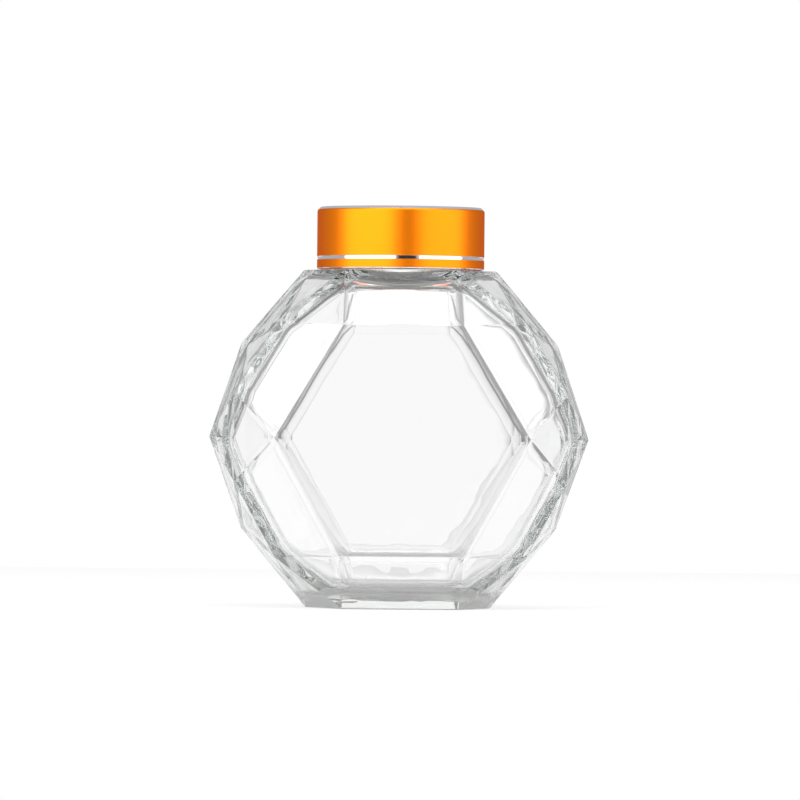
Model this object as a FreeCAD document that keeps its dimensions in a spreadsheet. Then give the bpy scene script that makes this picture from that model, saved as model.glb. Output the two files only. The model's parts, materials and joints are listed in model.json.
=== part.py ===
import FreeCAD, Part
import itertools
import math
import os
import Sketcher

# A faceted glass honey jar with a round screw cap, standing on its flat base.
# Millimetres. The origin is the centre of the base, +X is the jar's width, +Y its depth, +Z up.

os.makedirs("parts", exist_ok=True)

doc = FreeCAD.newDocument("HoneyJar")
sheet = doc.addObject("Spreadsheet::Sheet", "Dimensions")

DIMENSIONS = {
    # Glass body. "rise" and "drop" are heights above and below the waist corners.
    "body_half_width": 55.75,
    "body_half_depth": 34.3,
    "waist_height": 49.9,
    "shoulder_rise": 49.2,
    "waist_corner_x": 37.4,
    "side_corner_x": 48.7,
    "side_corner_y": 20.0,
    "side_corner_rise": 13.0,
    # The outer edge of a slanting side panel, as a share of its edge on the front panel.
    "side_edge_share": 0.64,
    # Upper facets.
    "panel_top_x": 17.7,
    "panel_top_rise": 33.0,
    "shoulder_end_land": 3.75,
    "shoulder_front_land": 0.15,
    "shoulder_corner_inset": 7.75,
    "upper_peak_x": 46.5,
    "upper_peak_rise": 27.6,
    # Lower facets.
    "panel_bottom_x": 18.2,
    "panel_bottom_drop": 34.8,
    "foot_corner_x": 16.9,
    "foot_corner_y": 24.6,
    "foot_end_x": 27.1,
    "lower_peak_x": 46.2,
    "lower_peak_drop": 26.8,
    # Glass thickness and roundings.
    "outer_rounding": 0.8,
    "inner_rounding": 8.0,
    "side_wall": 4.0,
    "rim_wall": 5.0,
    "end_wall": 2.4,
    "panel_wall": 3.6,
    "roof_wall": 3.7,
    "floor_wall": 6.0,
    # Neck.
    "mouth_radius": 18.2,
    "neck_wall": 3.2,
    "mouth_blend": 2.5,
    "funnel_width": 3.7,
    "funnel_reach": 2.4,
    "lip_rounding": 1.0,
    # Cap: an aluminium shell pressed over a plastic inner cap. Its groove's height is its foot's.
    "cap_height": 18.2,
    "cap_lift": 0.35,
    "shell_wall": 0.5,
    "shell_fit": 0.05,
    "insert_wall": 2.25,
    "insert_top": 2.0,
    "insert_recess": 0.6,
    "neck_clearance": 0.4,
    "bevel_width": 1.0,
    "bevel_drop": 1.0,
    "bevel_rounding": 1.0,
    "skirt_bevel": 0.25,
    "groove_height": 2.7,
    "groove_width": 1.0,
    "groove_depth": 0.22,
}

# Sizes that follow from the driving ones, so that the neck, cap and shoulder stay fitted.
DERIVED = {
    "neck_radius": "mouth_radius + neck_wall",
    "insert_inner_radius": "neck_radius + neck_clearance",
    "insert_outer_radius": "insert_inner_radius + insert_wall",
    "shell_inner_radius": "insert_outer_radius + shell_fit",
    "cap_radius": "shell_inner_radius + shell_wall",
    "shoulder_corner_x": "cap_radius - shoulder_corner_inset",
    "shoulder_corner_y": "cap_radius + shoulder_front_land",
    "shoulder_end_x": "cap_radius + shoulder_end_land",
    "shoulder_height": "waist_height + shoulder_rise",
    "cap_base_height": "shoulder_height + cap_lift",
    "shell_roof": "cap_height - shell_wall",
    "seal_height": "shell_roof - insert_top",
    "lip_height": "cap_base_height + seal_height",
}

row = 1
for name, number in DIMENSIONS.items():
    sheet.set("A%d" % row, name)
    sheet.set("B%d" % row, str(number))
    sheet.setAlias("B%d" % row, name)
    row += 1
for name, formula in DERIVED.items():
    sheet.set("A%d" % row, name)
    sheet.set("B%d" % row, "=" + formula)
    sheet.setAlias("B%d" % row, name)
    row += 1
doc.recompute()


def size(name):
    """The value of a named cell of the sheet."""
    return float(sheet.get(name))


def bind(feature, prop, formula):
    """Tie one property of a feature to a formula of the sheet's names."""
    feature.setExpression(prop, cells(formula))


def cells(formula):
    """Write the sheet's name in front of each of its aliases in a formula."""
    known = set(DIMENSIONS) | set(DERIVED)
    words = [("Dimensions." + word if word in known else word) for word in formula.split()]
    return " ".join(words)


# ---------------------------------------------------------------- glass facets

# Points nearer than this are one point, and a point nearer to a plane than this lies on it.
SAME_PLACE = 1e-6


def quarter_corners(end):
    """The corners of one quarter of the upper or lower half, as heights from the waist."""
    depth = size("body_half_depth")
    waist = FreeCAD.Vector(size("waist_corner_x"), depth, 0)
    panel = FreeCAD.Vector(size(end["panel_x"]), depth, size(end["panel_z"]))
    side = FreeCAD.Vector(size("side_corner_x"), size("side_corner_y"), size("side_corner_rise"))
    # The outer edge of each slanting side panel is parallel to its edge on the front panel.
    side_far = side + (panel - waist) * size("side_edge_share")
    cap_z = size(end["cap_z"])
    cap_corner = FreeCAD.Vector(size(end["cap_corner_x"]), size(end["cap_corner_y"]), cap_z)
    cap_end = FreeCAD.Vector(size(end["cap_end_x"]), 0, cap_z)
    peak = FreeCAD.Vector(size(end["peak_x"]), 0, size(end["peak_z"]))
    widest = FreeCAD.Vector(size("body_half_width"), 0, 0)
    return (waist, panel, side, side_far, cap_corner, cap_end, peak, widest)


# The names of the sizes that differ between the halves. A half ends in the flat shoulder or foot.
UPPER = {
    "panel_x": "panel_top_x",
    "panel_z": "panel_top_rise",
    "cap_corner_x": "shoulder_corner_x",
    "cap_corner_y": "shoulder_corner_y",
    "cap_end_x": "shoulder_end_x",
    "cap_z": "shoulder_rise",
    "peak_x": "upper_peak_x",
    "peak_z": "upper_peak_rise",
}
LOWER = {
    "panel_x": "panel_bottom_x",
    "panel_z": "panel_bottom_drop",
    "cap_corner_x": "foot_corner_x",
    "cap_corner_y": "foot_corner_y",
    "cap_end_x": "foot_end_x",
    "cap_z": "waist_height",
    "peak_x": "lower_peak_x",
    "peak_z": "lower_peak_drop",
}


def half_corners(end, scale_x, scale_y, scale_z):
    """All the corners of one half, scaled about the waist; a negative scale_z hangs it down."""
    signs = ((1, 1), (-1, 1), (-1, -1), (1, -1))
    return [
        FreeCAD.Vector(corner.x * scale_x * sx, corner.y * scale_y * sy, corner.z * scale_z)
        for corner in quarter_corners(end)
        for sx, sy in signs
    ]


def distinct(points):
    """The points without those that lie on an earlier one."""
    kept = []
    for point in points:
        if all(point.distanceToPoint(other) > SAME_PLACE for other in kept):
            kept.append(point)
    return kept


def ringed(points, normal):
    """The points of one flat facet, in order round its middle."""
    middle = sum(points, FreeCAD.Vector()) / len(points)
    along = (points[0] - middle).normalize()
    across = normal.cross(along)
    return sorted(points, key=lambda p: math.atan2((p - middle).dot(across), (p - middle).dot(along)))


def facets_round(points):
    """The flat facets that close round all the points, as (outward normal, numbers of its points).

    Each facet is a plane through three of the points that has every other point behind it.
    """
    facets = {}
    for first, second, third in itertools.combinations(range(len(points)), 3):
        normal = (points[second] - points[first]).cross(points[third] - points[first])
        if normal.Length < SAME_PLACE:
            continue
        normal.normalize()
        heights = [(point - points[first]).dot(normal) for point in points]
        if max(heights) > SAME_PLACE:
            normal = normal * -1
            heights = [-height for height in heights]
        if max(heights) > SAME_PLACE:
            continue
        flat = tuple(number for number, height in enumerate(heights) if height > -SAME_PLACE)
        facets[flat] = normal
    return [(normal, flat) for flat, normal in facets.items()]


def convex_solid(points):
    """The solid inside the flat facets round all the points."""
    faces = []
    for normal, flat in facets_round(points):
        ring = ringed([points[number] for number in flat], normal)
        faces.append(Part.Face(Part.makePolygon(ring + ring[:1])))
    return Part.makeSolid(Part.makeShell(faces))


def drawn_in(points, depth_of):
    """The corners that are left when each facet round the points is moved in by its own depth.

    Each is a point where three of the moved planes meet and which no other one cuts off.
    """
    planes = [
        (normal, normal.dot(points[flat[0]]) - depth_of(normal))
        for normal, flat in facets_round(points)
    ]
    left = []
    for (a, to_a), (b, to_b), (c, to_c) in itertools.combinations(planes, 3):
        spread = a.dot(b.cross(c))
        if abs(spread) < SAME_PLACE:
            continue
        point = (b.cross(c) * to_a + c.cross(a) * to_b + a.cross(b) * to_c) / spread
        if all(normal.dot(point) < reach + SAME_PLACE for normal, reach in planes):
            left.append(point)
    return distinct(left)


def rounded(corners, rounding):
    """The solid round the corners, grown by the rounding so that every edge is round."""
    body = convex_solid(corners).makeOffsetShape(rounding, 0.001)
    body.translate(FreeCAD.Vector(0, 0, size("waist_height")))
    return body


def outside_shape():
    """The faceted body at full size, with its edges rounded."""
    rounding = size("outer_rounding")
    scale_x = 1 - rounding / size("body_half_width")
    scale_y = 1 - rounding / size("body_half_depth")
    corners = half_corners(UPPER, scale_x, scale_y, 1 - rounding / size("shoulder_rise"))
    corners += half_corners(LOWER, scale_x, scale_y, rounding / size("waist_height") - 1)
    return rounded(distinct(corners), rounding)


def wall_behind(normal):
    """The glass thickness behind a facet, from the way that it faces."""
    if normal.z > 0.99:
        return size("roof_wall")
    if normal.z < -0.99:
        return size("floor_wall")
    if abs(normal.y) > 0.8:
        return size("panel_wall")
    if abs(normal.y) > 0.5:
        return size("side_wall")
    # Blowing stretches the glass thinnest where it reaches furthest, at the two ends.
    return size("end_wall") if abs(normal.z) < 0.01 else size("rim_wall")


def cavity_shape():
    """The space inside the walls, with its edges rounded as blown glass leaves them."""
    rounding = size("inner_rounding")
    corners = half_corners(UPPER, 1, 1, 1) + half_corners(LOWER, 1, 1, -1)
    inner = drawn_in(distinct(corners), lambda normal: wall_behind(normal) + rounding)
    return rounded(inner, rounding)


glass_facets = doc.addObject("Part::Feature", "glass_facets")
glass_facets.Shape = outside_shape()

# ---------------------------------------------------------------- neck and hollow

# The neck starts inside the roof, so that it and the body are one piece of glass.
neck_stem = doc.addObject("Part::Cylinder", "neck_stem")
bind(neck_stem, "Radius", "neck_radius")
bind(neck_stem, "Height", "lip_height - shoulder_height + roof_wall")
bind(neck_stem, "Placement.Base.z", "shoulder_height - roof_wall")


def throat_shape():
    """The bore, and the funnel by which it opens through the roof into the cavity."""
    bore = size("mouth_radius")
    blend = size("mouth_blend")
    ceiling = size("shoulder_height") - size("roof_wall")
    # The bore curves outwards by an eighth of a turn and goes on as a cone at that slope. The
    # cone passes through the cavity's ceiling and ends below it.
    turned = blend * math.sqrt(0.5)
    cone_start = bore + blend - turned
    cone_end = cone_start + size("funnel_width")
    bend_height = ceiling + turned + size("funnel_width") - size("funnel_reach")

    def at(radius, height):
        return FreeCAD.Vector(radius, 0, height)

    middle = math.radians(22.5)
    bend = Part.Arc(
        at(cone_start, bend_height - turned),
        at(bore + blend - blend * math.cos(middle), bend_height - blend * math.sin(middle)),
        at(bore, bend_height),
    ).toShape()
    foot = bend_height - turned - size("funnel_width")
    path = Part.makePolygon([
        at(bore, bend_height), at(bore, size("lip_height")), at(0, size("lip_height")),
        at(0, foot), at(cone_end, foot), at(cone_start, bend_height - turned),
    ])
    outline = Part.Wire([bend] + path.Edges)
    return Part.Face(outline).revolve(FreeCAD.Vector(), FreeCAD.Vector(0, 0, 1), 360)


hollow = doc.addObject("Part::Feature", "hollow")
hollow.Shape = cavity_shape().fuse(throat_shape()).removeSplitter().Solids[0]

blank = doc.addObject("Part::Fuse", "blank")
blank.Base = glass_facets
blank.Tool = neck_stem

blown = doc.addObject("Part::Cut", "blown")
blown.Base = blank
blown.Tool = hollow
doc.recompute()


def circles_at(shape, height):
    """Numbers, from 1, of the circular edges at a height."""
    found = []
    for number, edge in enumerate(shape.Edges, start=1):
        flat = abs(edge.BoundBox.ZMin - height) < 1e-4 and abs(edge.BoundBox.ZMax - height) < 1e-4
        if flat and isinstance(edge.Curve, Part.Circle):
            found.append(number)
    return found


jar_glass = doc.addObject("Part::Fillet", "jar_glass")
jar_glass.Label = "jar_glass"
jar_glass.Base = blown
lip = size("lip_rounding")
jar_glass.Edges = [(number, lip, lip) for number in circles_at(blown.Shape, size("lip_height"))]

# ---------------------------------------------------------------- cap


def origin_plane(body, role):
    """One of a body's own origin planes."""
    for feature in body.Origin.OriginFeatures:
        if feature.Role == role:
            return feature
    raise ValueError("no plane " + role)


def turned_body(label, outline):
    """A body turned about the Z axis from an outline of (radius, height) formulas."""
    body = doc.addObject("PartDesign::Body", label)
    body.Label = label
    sketch = body.newObject("Sketcher::SketchObject", label + "_outline")
    sketch.AttachmentSupport = [(origin_plane(body, "XZ_Plane"), "")]
    sketch.MapMode = "FlatFace"
    bind(body, "Placement.Base.z", "cap_base_height")
    places = [(value_of(radius), value_of(height)) for radius, height in outline]
    for index, place in enumerate(places):
        after = places[(index + 1) % len(places)]
        start = FreeCAD.Vector(place[0], place[1], 0)
        end = FreeCAD.Vector(after[0], after[1], 0)
        sketch.addGeometry(Part.LineSegment(start, end), False)
    for index in range(len(places)):
        after = (index + 1) % len(places)
        sketch.addConstraint(Sketcher.Constraint("Coincident", index, 2, after, 1))
    for index, (radius, height) in enumerate(outline):
        place_point(sketch, index, "DistanceX", radius)
        place_point(sketch, index, "DistanceY", height)
    turn = body.newObject("PartDesign::Revolution", label + "_turn")
    turn.Profile = sketch
    turn.ReferenceAxis = (sketch, ["V_Axis"])
    turn.Angle = 360
    body.Tip = turn
    doc.recompute()
    return body


def value_of(formula):
    """The number that a formula of the sheet's names gives, by signed terms."""
    total = 0.0
    sign = 1.0
    for word in formula.split():
        if word == "-":
            sign = -1.0
        elif word == "+":
            sign = 1.0
        else:
            total += sign * (size(word) if word in DIMENSIONS or word in DERIVED else float(word))
    return total


def place_point(sketch, index, kind, formula):
    """Hold the start of one line of a sketch at a distance from its origin."""
    number = value_of(formula)
    if formula == "0":
        axis = -2 if kind == "DistanceX" else -1
        sketch.addConstraint(Sketcher.Constraint("PointOnObject", index, 1, axis))
        return
    held = sketch.addConstraint(Sketcher.Constraint(kind, -1, 1, index, 1, number))
    sketch.setExpression("Constraints[%d]" % held, cells(formula))


SHELL_OUTLINE = (
    ("cap_radius - skirt_bevel", "0"),
    ("cap_radius", "skirt_bevel"),
    ("cap_radius", "groove_height"),
    ("cap_radius - groove_depth", "groove_height + groove_depth"),
    ("cap_radius - groove_depth", "groove_height + groove_width - groove_depth"),
    ("cap_radius", "groove_height + groove_width"),
    ("cap_radius", "cap_height"),
    ("0", "cap_height"),
    ("0", "shell_roof"),
    ("shell_inner_radius", "shell_roof"),
    ("shell_inner_radius", "0"),
)
INSERT_OUTLINE = (
    ("insert_inner_radius", "insert_recess"),
    ("insert_outer_radius", "insert_recess"),
    ("insert_outer_radius", "shell_roof"),
    ("0", "shell_roof"),
    ("0", "seal_height"),
    ("insert_inner_radius", "seal_height"),
)


def rim_edge(feature, radius, height):
    """The name of the circular edge of a feature with a radius, at a height."""
    for number, edge in enumerate(feature.Shape.Edges, start=1):
        if not isinstance(edge.Curve, Part.Circle):
            continue
        level = abs(edge.Curve.Center.z - height) < 1e-4
        if level and abs(edge.Curve.Radius - radius) < 1e-4:
            return "Edge%d" % number
    raise ValueError("no edge at %.3f, %.3f" % (radius, height))


cap_shell = turned_body("cap_shell", SHELL_OUTLINE)
turn = cap_shell.Tip
# The polished bevel round the top: cut across the corner, then rounded into the skirt.
bevel = cap_shell.newObject("PartDesign::Chamfer", "cap_bevel")
bevel.Base = (turn, [rim_edge(turn, size("cap_radius"), size("cap_height"))])
bevel.ChamferType = "Two distances"
bind(bevel, "Size", "bevel_drop")
bind(bevel, "Size2", "bevel_width")
cap_shell.Tip = bevel
doc.recompute()
foot_of_bevel = size("cap_height") - size("bevel_drop")
softened = cap_shell.newObject("PartDesign::Fillet", "cap_bevel_rounding")
softened.Base = (bevel, [rim_edge(bevel, size("cap_radius"), foot_of_bevel)])
bind(softened, "Radius", "bevel_rounding")
cap_shell.Tip = softened

cap_insert = turned_body("cap_insert", INSERT_OUTLINE)
doc.recompute()

# ---------------------------------------------------------------- checks and export

for item in doc.Objects:
    if "Invalid" in item.State or "Error" in item.State:
        raise RuntimeError("%s failed: %s" % (item.Name, item.State))

for node in (jar_glass, cap_shell, cap_insert):
    shape = node.Shape
    if shape.isNull() or not shape.isValid() or len(shape.Solids) != 1:
        raise RuntimeError("%s is not one valid solid" % node.Label)
    shape.exportStep("parts/%s.step" % node.Label)
    box = shape.BoundBox
    print(
        "%s: %.2f cm3, x %.2f..%.2f, y %.2f..%.2f, z %.2f..%.2f"
        % (node.Label, shape.Volume / 1000, box.XMin, box.XMax, box.YMin, box.YMax, box.ZMin, box.ZMax)
    )
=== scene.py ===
"""The looks of a faceted glass honey jar with a round screw cap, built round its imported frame.

Lengths in the settings are metres. +X is the jar's width, +Y its depth and +Z up.
"""

import json
import math

import bpy
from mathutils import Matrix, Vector

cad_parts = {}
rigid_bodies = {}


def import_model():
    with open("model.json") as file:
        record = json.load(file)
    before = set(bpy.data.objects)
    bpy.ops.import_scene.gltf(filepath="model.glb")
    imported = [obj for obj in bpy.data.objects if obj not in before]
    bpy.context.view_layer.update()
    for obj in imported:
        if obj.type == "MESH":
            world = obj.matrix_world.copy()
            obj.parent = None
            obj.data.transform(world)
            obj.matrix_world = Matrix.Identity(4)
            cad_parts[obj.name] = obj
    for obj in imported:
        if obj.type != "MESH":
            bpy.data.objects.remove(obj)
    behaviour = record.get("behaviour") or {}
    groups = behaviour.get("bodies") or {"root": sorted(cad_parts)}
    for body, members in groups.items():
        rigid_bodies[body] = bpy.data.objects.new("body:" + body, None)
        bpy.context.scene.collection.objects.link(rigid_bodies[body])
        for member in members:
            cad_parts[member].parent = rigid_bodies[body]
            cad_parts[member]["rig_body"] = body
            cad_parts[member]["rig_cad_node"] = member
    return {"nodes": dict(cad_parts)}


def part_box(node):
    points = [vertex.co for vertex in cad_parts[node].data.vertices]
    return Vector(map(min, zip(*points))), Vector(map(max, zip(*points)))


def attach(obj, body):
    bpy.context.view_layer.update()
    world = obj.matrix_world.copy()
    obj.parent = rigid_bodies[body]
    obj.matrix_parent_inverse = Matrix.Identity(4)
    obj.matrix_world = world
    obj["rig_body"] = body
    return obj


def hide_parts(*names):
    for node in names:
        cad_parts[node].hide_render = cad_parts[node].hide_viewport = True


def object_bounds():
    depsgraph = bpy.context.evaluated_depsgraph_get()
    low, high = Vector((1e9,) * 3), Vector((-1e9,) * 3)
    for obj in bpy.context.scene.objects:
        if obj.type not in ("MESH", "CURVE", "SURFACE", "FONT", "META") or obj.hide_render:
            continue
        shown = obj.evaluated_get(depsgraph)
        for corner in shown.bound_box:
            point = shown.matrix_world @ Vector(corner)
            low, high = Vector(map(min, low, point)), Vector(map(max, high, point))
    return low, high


bl_info = {
    "name": "Faceted Honey Jar",
    "version": (1, 0, 0),
    "blender": (4, 5, 0),
    "location": "View3D > Sidebar > Honey Jar",
    "description": "Dresses a faceted glass honey jar: glass body, metal cap, inner cap and stage",
    "category": "Object",
}

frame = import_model()
CAD_LOW, CAD_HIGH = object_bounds()
SHELL_LOW, SHELL_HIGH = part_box("cap_shell")
GLASS_LOW, GLASS_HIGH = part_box("jar_glass")
INSERT_LOW, INSERT_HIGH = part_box("cap_insert")

MM = 0.001

# Face attributes that the glass reads
FREE_SIDE = "free_side"
STIPPLED = "stippled"

# Modelling
CAD_JOIN = 0.002 * MM  # vertices of a CAD mesh nearer than this become one
CAD_FLAT = math.radians(0.05)  # triangles of a CAD mesh nearer in slope than this become one face
TURN_JOIN = 0.001 * MM  # vertices of a turned piece nearer than this become one
LEVEL = 0.99  # least size of a level face's normal.z
BASE_BAND = 0.5 * MM  # height above the foot up to which a level face is the base's
ROUNDING_STEPS = 8
LIP_ROUNDING = 0.3 * MM
LIP_STEPS = 4
OUTER_SKIN = 0.9  # share of the shell's wall, from outside, that holds its cuts
SHELL_CRISP = math.radians(20)
INSERT_CRISP = math.radians(30)

# Grain of the materials
GRIT_SIZE = 0.25 * MM
PIT_DEPTH = 0.004 * MM
DYE_CLOUD = 14 * MM
LINE_SPACING = 0.754 * MM
BAND_RADIANS = 20  # how far a band texture's wave runs in one unit
LINE_DEPTH = 0.0006 * MM
FLOW_SIZE = 6 * MM
PAPER_FIBRE = 2.5 * MM

# The studio that surrounds the jar: where its tones change, and the tones as shares of white
WINDOW_FADE = (math.radians(5), math.radians(25))  # off the middle of each side
WALLS_IN_GLASS = 0.26
CEILING_FADE = (math.sin(math.radians(20)), math.sin(math.radians(50)))
CEILING_IN_GLASS = 0.65
OPEN_SIDE_BEARING = math.radians(173)  # from the back, by way of the right
OPEN_SIDE_FADE = (math.radians(11), math.radians(15))
OPEN_SIDE_IN_METAL = 0.04
WALLS_IN_METAL = 0.50
OVERHEAD_FADE = (math.sin(math.radians(30)), math.sin(math.radians(60)))
OVERHEAD_GAIN = 1.15
STUDIO_ON_MATT = 0.48

# The stage
FLOOR_SIZE = 1.3
FLOOR_GAP = 0.05 * MM
FLOOR_GLOW = 0.76  # share of plain white in what the camera sees of the floor
FLOOR_GLOW_MIRRORED = 0.4  # how much of that a mirror image keeps
# Name, bearing from the front and rise in degrees, width and height, watts, shown by glass
SOFTBOXES = (
    ("softbox_left", -47, 17, (1.6, 1.2), 13.5, False),
    ("softbox_right", 58, 17, (1.4, 1.2), 9.3, False),
    ("softbox_top", 0, 66, (1.2, 0.7), 6.0, True),
)
CAMERA_REACH = 50
LIGHT_BOUNCES = 160


# ---------------------------------------------------------------- settings

class GlassSettings(bpy.types.PropertyGroup):
    """Sizes and colours of the glass body."""

    crisp_angle: bpy.props.FloatProperty(
        name="Crisp angle", description="Edges sharper than this stay crisp in the shading",
        default=math.radians(35), subtype="ANGLE")
    wave_height: bpy.props.FloatProperty(
        name="Wave height", description="Height of the waves that blowing leaves on the inside",
        default=0.6 * MM, unit="LENGTH")
    wave_size: bpy.props.FloatProperty(
        name="Wave size", description="Distance between the waves on the inside",
        default=20 * MM, unit="LENGTH")
    stipple: bpy.props.FloatProperty(
        name="Stipple", description="Roughness of the stippled underside", default=0.3,
        subtype="FACTOR")
    tint: bpy.props.StringProperty(
        name="Tint", description="Colour that thick glass takes on, as sRGB hex", default="#C6CFCC")
    tint_density: bpy.props.FloatProperty(
        name="Tint density", description="How fast the tint builds up with thickness, per metre",
        default=5.0)


class CapSettings(bpy.types.PropertyGroup):
    """Sizes and colours of the cap."""

    wall: bpy.props.FloatProperty(
        name="Wall", description="Thickness of the aluminium", default=0.5 * MM, unit="LENGTH")
    bevel_width: bpy.props.FloatProperty(
        name="Bevel width", description="Width of the cut round the top, seen from above",
        default=1.0 * MM, unit="LENGTH")
    bevel_drop: bpy.props.FloatProperty(
        name="Bevel drop", description="Height of the cut round the top, seen from the side",
        default=1.0 * MM, unit="LENGTH")
    bevel_rounding: bpy.props.FloatProperty(
        name="Bevel rounding", description="Radius where the cut runs into the side",
        default=1.0 * MM, unit="LENGTH")
    skirt_bevel: bpy.props.FloatProperty(
        name="Skirt bevel", description="Size of the bright cut round the foot",
        default=0.25 * MM, unit="LENGTH")
    groove_height: bpy.props.FloatProperty(
        name="Groove height", description="Height of the groove's lower edge above the foot",
        default=2.7 * MM, unit="LENGTH")
    groove_width: bpy.props.FloatProperty(
        name="Groove width", description="Height of the groove's opening",
        default=1.0 * MM, unit="LENGTH")
    groove_depth: bpy.props.FloatProperty(
        name="Groove depth", description="How far the groove is cut into the side",
        default=0.22 * MM, unit="LENGTH")
    insert_wall: bpy.props.FloatProperty(
        name="Insert wall", description="Thickness of the inner cap's side",
        default=2.25 * MM, unit="LENGTH")
    turn_steps: bpy.props.IntProperty(
        name="Steps", description="Number of steps round the cap", default=192, min=24)
    dye: bpy.props.StringProperty(
        name="Dye", description="Colour of the anodised aluminium, as sRGB hex", default="#FF8900")


class StageSettings(bpy.types.PropertyGroup):
    """The camera, the floor and the lamps."""

    camera_distance: bpy.props.FloatProperty(
        name="Camera distance", description="Distance from the jar's axis to the camera",
        default=2.4, unit="LENGTH")
    camera_height: bpy.props.FloatProperty(
        name="Camera height", description="Height of the camera above the floor",
        default=51.9 * MM, unit="LENGTH")
    camera_turn: bpy.props.FloatProperty(
        name="Camera turn",
        description="How far the camera stands to the jar's left of straight on",
        default=math.radians(1.73), subtype="ANGLE")
    camera_roll: bpy.props.FloatProperty(
        name="Camera roll", description="How far the picture leans", default=math.radians(0.53),
        subtype="ANGLE")
    camera_lens: bpy.props.FloatProperty(
        name="Lens", description="Focal length of the camera in millimetres", default=367.3)
    aim_height: bpy.props.FloatProperty(
        name="Aim height", description="Height of the point that the camera looks at",
        default=61.1 * MM, unit="LENGTH")
    aim_side: bpy.props.FloatProperty(
        name="Aim side", description="How far that point lies to the right of the jar's axis",
        default=0.19 * MM, unit="LENGTH")


# ---------------------------------------------------------------- nodes and colours

def linear(hex_colour):
    """An sRGB hex colour as the linear RGBA that the shader nodes take."""
    channels = [int(hex_colour[place:place + 2], 16) / 255 for place in (1, 3, 5)]
    rgb = [c / 12.92 if c <= 0.04045 else ((c + 0.055) / 1.055) ** 2.4 for c in channels]
    return (*rgb, 1.0)


def add_node(tree, kind, inputs=None, **settings):
    """Add a node, set its properties, and set or link its inputs."""
    made = tree.nodes.new(kind)
    for name, value in settings.items():
        setattr(made, name, value)
    for key, value in (inputs or {}).items():
        if isinstance(value, bpy.types.NodeSocket):
            tree.links.new(value, made.inputs[key])
        else:
            made.inputs[key].default_value = value
    return made


def empty_material(name):
    """A material with an empty node tree."""
    material = bpy.data.materials.new(name)
    material.use_nodes = True
    tree = material.node_tree
    tree.nodes.clear()
    return material, tree


# ---------------------------------------------------------------- materials

def blown_soda_lime_glass(settings):
    """Soda-lime glass blown in a mould: clear, grey-green where it is thick, faintly wavy inside.

    The mould keeps the outside flat. Nothing touches the inside, so it cools in gentle waves.
    """
    material, tree = empty_material("blown_soda_lime_glass")
    coordinates = add_node(tree, "ShaderNodeTexCoord")
    rolls = add_node(
        tree, "ShaderNodeTexNoise",
        {"Vector": coordinates.outputs["Object"], "Scale": 1 / settings.wave_size,
         "Detail": 2.0, "Roughness": 0.45})
    free_side = add_node(tree, "ShaderNodeAttribute", attribute_name=FREE_SIDE)
    waves = add_node(
        tree, "ShaderNodeMath",
        {0: free_side.outputs["Fac"], 1: settings.wave_height}, operation="MULTIPLY")
    bump = add_node(
        tree, "ShaderNodeBump",
        {"Height": rolls.outputs["Fac"], "Distance": waves.outputs[0], "Strength": 1.0})
    # The mould's bottom plate is stippled, so that the jar does not slip on the filling line.
    stippled = add_node(tree, "ShaderNodeAttribute", attribute_name=STIPPLED)
    glass = add_node(
        tree, "ShaderNodeBsdfPrincipled",
        {"Base Color": linear("#FFFFFF"), "Roughness": stippled.outputs["Fac"], "IOR": 1.52,
         "Transmission Weight": 1.0, "Normal": bump.outputs["Normal"]})
    depth = add_node(
        tree, "ShaderNodeVolumeAbsorption",
        {"Color": linear(settings.tint), "Density": settings.tint_density})
    add_node(
        tree, "ShaderNodeOutputMaterial",
        {"Surface": glass.outputs["BSDF"], "Volume": depth.outputs["Volume"]})
    return material


def satin_anodised_aluminium(settings):
    """Aluminium, fine-blasted and dyed orange: a metal shine spread into broad soft streaks."""
    material, tree = empty_material("satin_anodised_aluminium_orange")
    coordinates = add_node(tree, "ShaderNodeTexCoord")
    # Blasting leaves pits of about 0.05 mm; they are drawn at 0.25 mm so that they show at all.
    grit = add_node(
        tree, "ShaderNodeTexNoise",
        {"Vector": coordinates.outputs["Object"], "Scale": 1 / GRIT_SIZE,
         "Detail": 2.0, "Roughness": 0.6})
    pits = add_node(
        tree, "ShaderNodeBump",
        {"Height": grit.outputs["Fac"], "Distance": PIT_DEPTH, "Strength": 1.0})
    # The dye takes a little unevenly over centimetres.
    clouds = add_node(
        tree, "ShaderNodeTexNoise",
        {"Vector": coordinates.outputs["Object"], "Scale": 1 / DYE_CLOUD, "Detail": 2.0})
    dye = add_node(
        tree, "ShaderNodeMix",
        {"Factor": clouds.outputs["Fac"], "A": linear(settings.dye), "B": linear("#FC8300")},
        data_type="RGBA")
    rough = add_node(
        tree, "ShaderNodeMapRange",
        {"Value": grit.outputs["Fac"], "To Min": 0.32, "To Max": 0.40})
    metal = add_node(
        tree, "ShaderNodeBsdfPrincipled",
        {"Base Color": dye.outputs["Result"], "Metallic": 1.0,
         "Specular Tint": linear("#F0A060"), "Roughness": rough.outputs["Result"],
         "Normal": pits.outputs["Normal"],
         # The clear oxide film over the dye adds a faint white sheen.
         "Coat Weight": 0.12, "Coat Roughness": 0.35, "Coat IOR": 1.6})
    add_node(tree, "ShaderNodeOutputMaterial", {"Surface": metal.outputs["BSDF"]})
    return material


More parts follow.
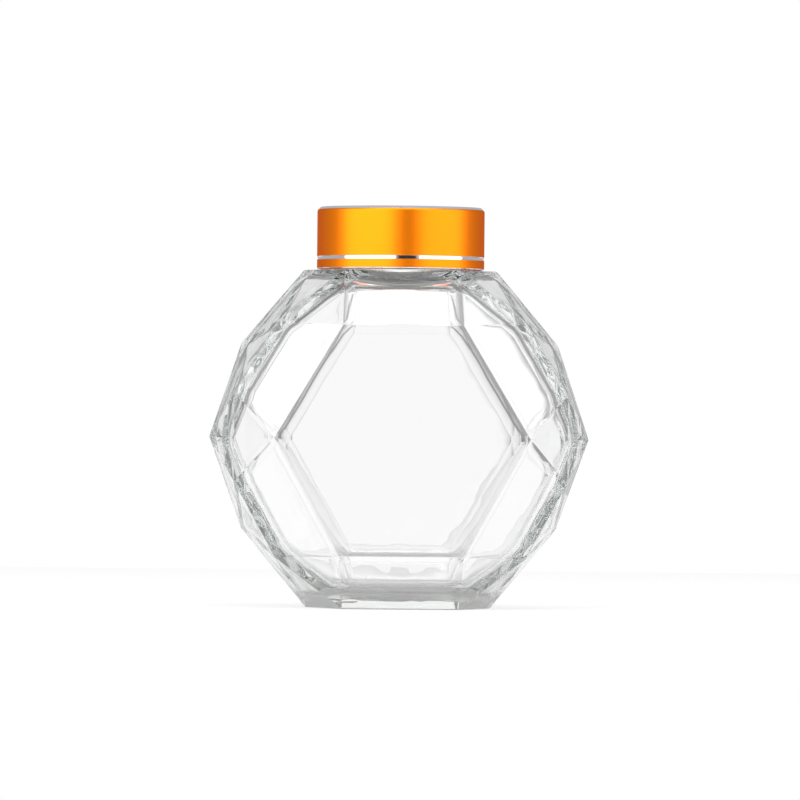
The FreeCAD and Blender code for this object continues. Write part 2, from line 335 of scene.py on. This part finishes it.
def diamond_cut_aluminium():
    """Bare aluminium cut with a diamond on a lathe: a near-mirror with faint turning lines."""
    material, tree = empty_material("diamond_cut_bare_aluminium")
    coordinates = add_node(tree, "ShaderNodeTexCoord")
    # The lathe leaves a line every 0.05 mm; they are drawn 0.75 mm apart so that they show.
    feed = add_node(
        tree, "ShaderNodeTexWave",
        {"Vector": coordinates.outputs["Object"],
         "Scale": math.tau / (BAND_RADIANS * LINE_SPACING), "Distortion": 0.3},
        wave_type="BANDS", bands_direction="Z")
    lines = add_node(
        tree, "ShaderNodeBump",
        {"Height": feed.outputs["Fac"], "Distance": LINE_DEPTH, "Strength": 1.0})
    metal = add_node(
        tree, "ShaderNodeBsdfPrincipled",
        {"Base Color": linear("#E6EDF6"), "Metallic": 1.0, "Roughness": 0.08,
         "Normal": lines.outputs["Normal"]})
    add_node(tree, "ShaderNodeOutputMaterial", {"Surface": metal.outputs["BSDF"]})
    return material


def moulded_polypropylene():
    """Polypropylene moulded in natural white: milky, with a soft sheen and light under the skin."""
    material, tree = empty_material("moulded_white_polypropylene")
    coordinates = add_node(tree, "ShaderNodeTexCoord")
    flow = add_node(
        tree, "ShaderNodeTexNoise",
        {"Vector": coordinates.outputs["Object"], "Scale": 1 / FLOW_SIZE, "Detail": 3.0})
    milk = add_node(
        tree, "ShaderNodeMix",
        {"Factor": flow.outputs["Fac"], "A": linear("#F4F4F2"), "B": linear("#ECEDEA")},
        data_type="RGBA")
    plastic = add_node(
        tree, "ShaderNodeBsdfPrincipled",
        {"Base Color": milk.outputs["Result"], "Roughness": 0.45, "IOR": 1.49,
         "Subsurface Weight": 0.3, "Subsurface Scale": 1.0 * MM})
    add_node(tree, "ShaderNodeOutputMaterial", {"Surface": plastic.outputs["BSDF"]})
    return material


# ---------------------------------------------------------------- modelling helpers

def deselect_all():
    """Leave object mode with nothing selected."""
    if bpy.context.object and bpy.context.object.mode != "OBJECT":
        bpy.ops.object.mode_set(mode="OBJECT")
    bpy.ops.object.select_all(action="DESELECT")


def select_only(piece):
    """Select one piece and make it the active one."""
    deselect_all()
    piece.select_set(True)
    bpy.context.view_layer.objects.active = piece


def copied_node(node, name):
    """A free copy of a CAD node with a mesh of its own, its loose triangles joined up."""
    select_only(frame["nodes"][node])
    bpy.ops.object.duplicate(linked=False)
    piece = bpy.context.object
    piece.name = name
    piece.data.name = name
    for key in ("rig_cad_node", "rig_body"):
        if key in piece:
            del piece[key]
    bpy.ops.object.parent_clear(type="CLEAR_KEEP_TRANSFORM")
    bpy.ops.mesh.customdata_custom_splitnormals_clear()
    piece.data.materials.clear()
    bpy.ops.object.mode_set(mode="EDIT")
    bpy.ops.mesh.select_all(action="SELECT")
    bpy.ops.mesh.remove_doubles(threshold=CAD_JOIN)
    bpy.ops.mesh.dissolve_limited(angle_limit=CAD_FLAT)
    bpy.ops.object.mode_set(mode="OBJECT")
    return piece


def turned_piece(name, outline, steps):
    """Turn a closed outline of (radius, height) once round the Z axis."""
    deselect_all()
    bpy.ops.mesh.primitive_plane_add(size=MM, location=(0, 0, 0))
    piece = bpy.context.object
    piece.name = name
    piece.data.name = name
    bpy.ops.object.mode_set(mode="EDIT")
    bpy.ops.mesh.select_all(action="SELECT")
    bpy.ops.mesh.merge(type="CENTER")
    bpy.ops.transform.translate(value=(outline[0][0], 0, outline[0][1]))
    for (radius, height), (next_radius, next_height) in zip(outline, outline[1:] + outline[:1]):
        step = (next_radius - radius, 0, next_height - height)
        bpy.ops.mesh.extrude_region_move(TRANSFORM_OT_translate={"value": step})
    bpy.ops.mesh.select_all(action="SELECT")
    bpy.ops.mesh.remove_doubles(threshold=TURN_JOIN)
    bpy.ops.mesh.select_all(action="SELECT")
    bpy.ops.mesh.spin(
        steps=steps, dupli=False, angle=math.tau, use_auto_merge=True,
        center=(0, 0, 0), axis=(0, 0, 1))
    bpy.ops.mesh.select_all(action="SELECT")
    bpy.ops.mesh.remove_doubles(threshold=TURN_JOIN)
    bpy.ops.mesh.normals_make_consistent(inside=False)
    bpy.ops.object.mode_set(mode="OBJECT")
    return piece


def arc(centre, radius, start, end, steps):
    """Points of an arc in an outline, from one angle in degrees to another."""
    turns = [math.radians(start + (end - start) * step / steps) for step in range(steps + 1)]
    return [(centre[0] + radius * math.cos(a), centre[1] + radius * math.sin(a)) for a in turns]


def give_faces(piece, material, belongs=lambda centre, normal: True):
    """Give a material to all faces of a piece, or to those that belongs(centre, normal) picks."""
    piece.data.materials.append(material)
    number = len(piece.data.materials) - 1
    for face in piece.data.polygons:
        if belongs(face.center, face.normal):
            face.material_index = number


def mark_faces(piece, attribute, value):
    """Store value(centre, normal) of every face in a face attribute of the piece."""
    marks = piece.data.attributes.new(attribute, "FLOAT", "FACE")
    for face, mark in zip(piece.data.polygons, marks.data):
        mark.value = value(face.center, face.normal)


def hand_over(piece, node):
    """Let a finished piece ride on the body and stand for its CAD node."""
    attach(piece, "root")
    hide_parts(node)


# ---------------------------------------------------------------- operators

class JAR_OT_glass_body(bpy.types.Operator):
    """Make the glass body: smooth shading over the rounded edges, flat over the facets"""

    bl_idname = "jar.glass_body"
    bl_label = "Glass body"

    def execute(self, context):
        settings = context.scene.jar_glass
        body = copied_node("jar_glass", "faceted_glass_body")
        middle = Vector((0, 0, (GLASS_LOW.z + SHELL_LOW.z) / 2))

        def free_side(centre, normal):
            """1 for a face of the hollow, whose front looks at the jar's axis or middle."""
            if centre.z > SHELL_LOW.z:
                return float(normal.xy.dot(centre.xy) < 0)
            return float(normal.dot(centre - middle) < 0)

        def stipple(centre, normal):
            """The roughness of the base, and 0 elsewhere."""
            is_base = normal.z < -LEVEL and centre.z < GLASS_LOW.z + BASE_BAND
            return settings.stipple if is_base else 0.0

        give_faces(body, blown_soda_lime_glass(settings))
        mark_faces(body, FREE_SIDE, free_side)
        mark_faces(body, STIPPLED, stipple)
        select_only(body)
        bpy.ops.object.shade_smooth_by_angle(angle=settings.crisp_angle)
        even = body.modifiers.new("even_normals", "WEIGHTED_NORMAL")
        even.mode = "FACE_AREA"
        even.weight = 100
        even.keep_sharp = True
        bpy.ops.object.modifier_apply(modifier=even.name)
        hand_over(body, "jar_glass")
        return {"FINISHED"}


class JAR_OT_cap_shell(bpy.types.Operator):
    """Turn the aluminium shell of the cap and give its bright cuts their bare metal"""

    bl_idname = "jar.cap_shell"
    bl_label = "Cap shell"

    def execute(self, context):
        cap = context.scene.jar_cap
        radius, foot, top = SHELL_HIGH.x, SHELL_LOW.z, SHELL_HIGH.z
        slope = math.atan2(cap.bevel_width, cap.bevel_drop)
        tangent = cap.bevel_rounding * math.tan(slope / 2)
        round_start = top - cap.bevel_drop - tangent
        rounding = arc(
            (radius - cap.bevel_rounding, round_start), cap.bevel_rounding,
            0, math.degrees(slope), ROUNDING_STEPS)
        groove_low = foot + cap.groove_height
        groove_top = groove_low + cap.groove_width
        outline = [
            (radius - cap.wall, foot),
            (radius - cap.skirt_bevel, foot),
            (radius, foot + cap.skirt_bevel),
            (radius, groove_low),
            (radius - cap.groove_depth, groove_low + cap.groove_depth),
            (radius - cap.groove_depth, groove_top - cap.groove_depth),
            (radius, groove_top),
            *rounding,
            (radius - cap.bevel_width, top),
            (0, top),
            (0, top - cap.wall),
            (radius - cap.wall, top - cap.wall),
        ]
        shell = turned_piece("cap_shell_aluminium", outline, cap.turn_steps)
        bright_top = rounding[-1][1]
        give_faces(shell, satin_anodised_aluminium(cap))

        def is_cut_bright(centre, normal):
            """True for the bevel round the top, the groove and the cut round the foot."""
            away = centre.xy.length
            on_bevel = centre.z > bright_top and away > radius - cap.bevel_width
            outside = away > radius - cap.wall * OUTER_SKIN
            in_groove = groove_low < centre.z < groove_top and outside
            at_foot = centre.z < foot + cap.skirt_bevel and away > radius - cap.wall
            return (on_bevel and normal.z < LEVEL) or in_groove or at_foot

        give_faces(shell, diamond_cut_aluminium(), is_cut_bright)
        select_only(shell)
        bpy.ops.object.shade_smooth_by_angle(angle=SHELL_CRISP)
        hand_over(shell, "cap_shell")
        return {"FINISHED"}


class JAR_OT_cap_insert(bpy.types.Operator):
    """Mould the plastic inner cap that screws onto the neck"""

    bl_idname = "jar.cap_insert"
    bl_label = "Inner cap"

    def execute(self, context):
        cap = context.scene.jar_cap
        outer, foot, top = INSERT_HIGH.x, INSERT_LOW.z, INSERT_HIGH.z
        lip = GLASS_HIGH.z
        inner = outer - cap.insert_wall
        outline = [
            *arc((inner + LIP_ROUNDING, foot + LIP_ROUNDING), LIP_ROUNDING, 180, 270, LIP_STEPS),
            *arc((outer - LIP_ROUNDING, foot + LIP_ROUNDING), LIP_ROUNDING, 270, 360, LIP_STEPS),
            (outer, top),
            (0, top),
            (0, lip),
            (inner, lip),
        ]
        insert = turned_piece("cap_insert_plastic", outline, cap.turn_steps)
        give_faces(insert, moulded_polypropylene())
        select_only(insert)
        bpy.ops.object.shade_smooth_by_angle(angle=INSERT_CRISP)
        hand_over(insert, "cap_insert")
        return {"FINISHED"}


def studio_world():
    """A white studio: a bright window at the middle of each side, and greyer walls between.

    Clear glass shows what stands behind it, so the grey walls draw its edges.
    """
    world = bpy.data.worlds.new("white_studio")
    world.use_nodes = True
    tree = world.node_tree
    tree.nodes.clear()
    coordinates = add_node(tree, "ShaderNodeTexCoord")
    way = add_node(tree, "ShaderNodeSeparateXYZ", {"Vector": coordinates.outputs["Generated"]})
    height = add_node(tree, "ShaderNodeMath", {0: way.outputs["Z"]}, operation="ABSOLUTE")
    bearing = add_node(
        tree, "ShaderNodeMath", {0: way.outputs["X"], 1: way.outputs["Y"]}, operation="ARCTAN2")

    # Seen through glass: the angle to the nearest of the four sides, up to an eighth of a turn.
    corner = add_node(
        tree, "ShaderNodeMath", {0: bearing.outputs["Value"], 1: math.tau / 8},
        operation="PINGPONG")
    window = add_node(
        tree, "ShaderNodeMapRange",
        {"Value": corner.outputs["Value"], "From Min": WINDOW_FADE[0],
         "From Max": WINDOW_FADE[1], "To Min": 1.0, "To Max": WALLS_IN_GLASS},
        interpolation_type="SMOOTHSTEP")
    ceiling = add_node(
        tree, "ShaderNodeMapRange",
        {"Value": height.outputs["Value"], "From Min": CEILING_FADE[0],
         "From Max": CEILING_FADE[1], "To Min": 1.0, "To Max": CEILING_IN_GLASS},
        interpolation_type="SMOOTHSTEP")
    through_glass = add_node(
        tree, "ShaderNodeMath", {0: window.outputs["Result"], 1: ceiling.outputs["Result"]},
        operation="MULTIPLY")

    # Mirrored in metal: the side behind the camera is open and dark.
    past_open_side = add_node(
        tree, "ShaderNodeMath", {0: bearing.outputs["Value"], 1: OPEN_SIDE_BEARING},
        operation="SUBTRACT")
    within_half_turn = add_node(
        tree, "ShaderNodeMath", {0: past_open_side.outputs["Value"], 1: math.pi, 2: -math.pi},
        operation="WRAP")
    from_open_side = add_node(
        tree, "ShaderNodeMath", {0: within_half_turn.outputs["Value"]}, operation="ABSOLUTE")
    open_side = add_node(
        tree, "ShaderNodeMapRange",
        {"Value": from_open_side.outputs["Value"], "From Min": OPEN_SIDE_FADE[0],
         "From Max": OPEN_SIDE_FADE[1], "To Min": OPEN_SIDE_IN_METAL, "To Max": WALLS_IN_METAL},
        interpolation_type="SMOOTHSTEP")
    overhead = add_node(
        tree, "ShaderNodeMapRange",
        {"Value": height.outputs["Value"], "From Min": OVERHEAD_FADE[0],
         "From Max": OVERHEAD_FADE[1], "To Min": 1.0, "To Max": OVERHEAD_GAIN},
        interpolation_type="SMOOTHSTEP")
    in_metal = add_node(
        tree, "ShaderNodeMath", {0: open_side.outputs["Result"], 1: overhead.outputs["Result"]},
        operation="MULTIPLY")

    rays = add_node(tree, "ShaderNodeLightPath")
    strength = in_metal.outputs["Value"]
    for ray, value in (
            ("Is Diffuse Ray", STUDIO_ON_MATT),
            ("Is Transmission Ray", through_glass.outputs["Value"]),
            ("Is Camera Ray", 1.0)):
        chosen = add_node(
            tree, "ShaderNodeMix", {"Factor": rays.outputs[ray], "A": strength, "B": value},
            data_type="FLOAT")
        strength = chosen.outputs["Result"]
    light = add_node(
        tree, "ShaderNodeBackground", {"Color": linear("#FFFFFF"), "Strength": strength})
    add_node(tree, "ShaderNodeOutputWorld", {"Surface": light.outputs["Background"]})
    bpy.context.scene.world = world


def white_sweep():
    """Matt white paper that shows white where nothing shades it."""
    material, tree = empty_material("white_paper_sweep")
    coordinates = add_node(tree, "ShaderNodeTexCoord")
    fibre = add_node(
        tree, "ShaderNodeTexNoise",
        {"Vector": coordinates.outputs["Object"], "Scale": 1 / PAPER_FIBRE})
    rays = add_node(tree, "ShaderNodeLightPath")
    tone = add_node(
        tree, "ShaderNodeMix",
        {"Factor": fibre.outputs["Fac"], "A": linear("#EAEAEA"), "B": linear("#E5E5E5")},
        data_type="RGBA")
    seen_white = add_node(
        tree, "ShaderNodeMix",
        {"Factor": rays.outputs["Is Camera Ray"], "A": tone.outputs["Result"],
         "B": linear("#FFFFFF")},
        data_type="RGBA")
    paper = add_node(tree, "ShaderNodeBsdfDiffuse", {"Color": seen_white.outputs["Result"]})
    glow = add_node(tree, "ShaderNodeEmission", {"Color": linear("#FFFFFF"), "Strength": 1.0})
    mirrored = add_node(
        tree, "ShaderNodeMath", {0: rays.outputs["Is Glossy Ray"], 1: FLOOR_GLOW_MIRRORED},
        operation="MULTIPLY")
    seen = add_node(
        tree, "ShaderNodeMath", {0: rays.outputs["Is Camera Ray"], 1: mirrored.outputs["Value"]},
        operation="MAXIMUM")
    share = add_node(
        tree, "ShaderNodeMath", {0: seen.outputs["Value"], 1: FLOOR_GLOW}, operation="MULTIPLY")
    mixed = add_node(
        tree, "ShaderNodeMixShader",
        {0: share.outputs["Value"], 1: paper.outputs["BSDF"], 2: glow.outputs["Emission"]})
    # From below the paper is clear, so that the jar's underside can be seen.
    side = add_node(tree, "ShaderNodeNewGeometry")
    clear = add_node(tree, "ShaderNodeBsdfTransparent")
    one_sided = add_node(
        tree, "ShaderNodeMixShader",
        {0: side.outputs["Backfacing"], 1: mixed.outputs["Shader"], 2: clear.outputs["BSDF"]})
    add_node(tree, "ShaderNodeOutputMaterial", {"Surface": one_sided.outputs["Shader"]})
    return material


def softbox(name, bearing, rise, size, power, in_glass):
    """A softbox one metre from the jar, at a bearing from the front and an angle of rise.

    in_glass tells whether the glass lets it be seen through its walls.
    """
    deselect_all()
    middle = Vector((0, 0, CAD_HIGH.z / 2))
    away = Vector((
        math.sin(bearing) * math.cos(rise), -math.cos(bearing) * math.cos(rise), math.sin(rise)))
    bpy.ops.object.light_add(type="AREA", location=middle + away)
    lamp = bpy.context.object
    lamp.name = name
    lamp.data.shape = "RECTANGLE"
    lamp.data.size, lamp.data.size_y = size
    lamp.data.energy = power
    lamp.visible_transmission = in_glass
    lamp.rotation_euler = (-away).to_track_quat("-Z", "Y").to_euler()


class JAR_OT_stage(bpy.types.Operator):
    """Set the floor, the lamps, the world and the camera"""

    bl_idname = "jar.stage"
    bl_label = "Stage"

    def execute(self, context):
        stage = context.scene.jar_stage
        deselect_all()
        bpy.ops.mesh.primitive_plane_add(
            size=FLOOR_SIZE, location=(0, 0, CAD_LOW.z - FLOOR_GAP))
        floor = context.object
        floor.name = "floor"
        floor.data.materials.append(white_sweep())
        studio_world()
        for name, bearing, rise, size, power, in_glass in SOFTBOXES:
            softbox(name, math.radians(bearing), math.radians(rise), size, power, in_glass)

        turn = stage.camera_turn
        place = Vector((
            -math.sin(turn) * stage.camera_distance, -math.cos(turn) * stage.camera_distance,
            stage.camera_height))
        aim = Vector((
            math.cos(turn) * stage.aim_side, -math.sin(turn) * stage.aim_side, stage.aim_height))
        deselect_all()
        bpy.ops.object.camera_add(location=place)
        camera = context.object
        camera.name = "camera"
        camera.data.lens = stage.camera_lens
        camera.data.clip_end = CAMERA_REACH
        camera.rotation_euler = (aim - place).to_track_quat("-Z", "Y").to_euler()
        camera.rotation_euler.rotate_axis("Z", stage.camera_roll)
        context.scene.camera = camera
        context.scene.view_settings.view_transform = "Standard"
        cycles = context.scene.cycles
        cycles.max_bounces = LIGHT_BOUNCES
        cycles.transmission_bounces = LIGHT_BOUNCES
        cycles.glossy_bounces = LIGHT_BOUNCES
        return {"FINISHED"}


class JAR_PT_panel(bpy.types.Panel):
    """Lists the jar's pieces, each with its button and its settings"""

    bl_idname = "JAR_PT_panel"
    bl_label = "Honey Jar"
    bl_space_type = "VIEW_3D"
    bl_region_type = "UI"
    bl_category = "Honey Jar"

    def draw(self, context):
        scene = context.scene
        for operator in PIECES:
            self.layout.operator(operator.bl_idname)
        for group in (scene.jar_glass, scene.jar_cap, scene.jar_stage):
            box = self.layout.box()
            for name in group.__annotations__:
                box.prop(group, name)


PIECES = (JAR_OT_glass_body, JAR_OT_cap_shell, JAR_OT_cap_insert, JAR_OT_stage)
CLASSES = (GlassSettings, CapSettings, StageSettings, *PIECES, JAR_PT_panel)


def register():
    for each in CLASSES:
        bpy.utils.register_class(each)
    bpy.types.Scene.jar_glass = bpy.props.PointerProperty(type=GlassSettings)
    bpy.types.Scene.jar_cap = bpy.props.PointerProperty(type=CapSettings)
    bpy.types.Scene.jar_stage = bpy.props.PointerProperty(type=StageSettings)


def unregister():
    del bpy.types.Scene.jar_stage
    del bpy.types.Scene.jar_cap
    del bpy.types.Scene.jar_glass
    for each in reversed(CLASSES):
        bpy.utils.unregister_class(each)


def main():
    """Register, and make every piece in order."""
    register()
    bpy.ops.jar.glass_body()
    bpy.ops.jar.cap_shell()
    bpy.ops.jar.cap_insert()
    bpy.ops.jar.stage()


if __name__ == "__main__":
    main()
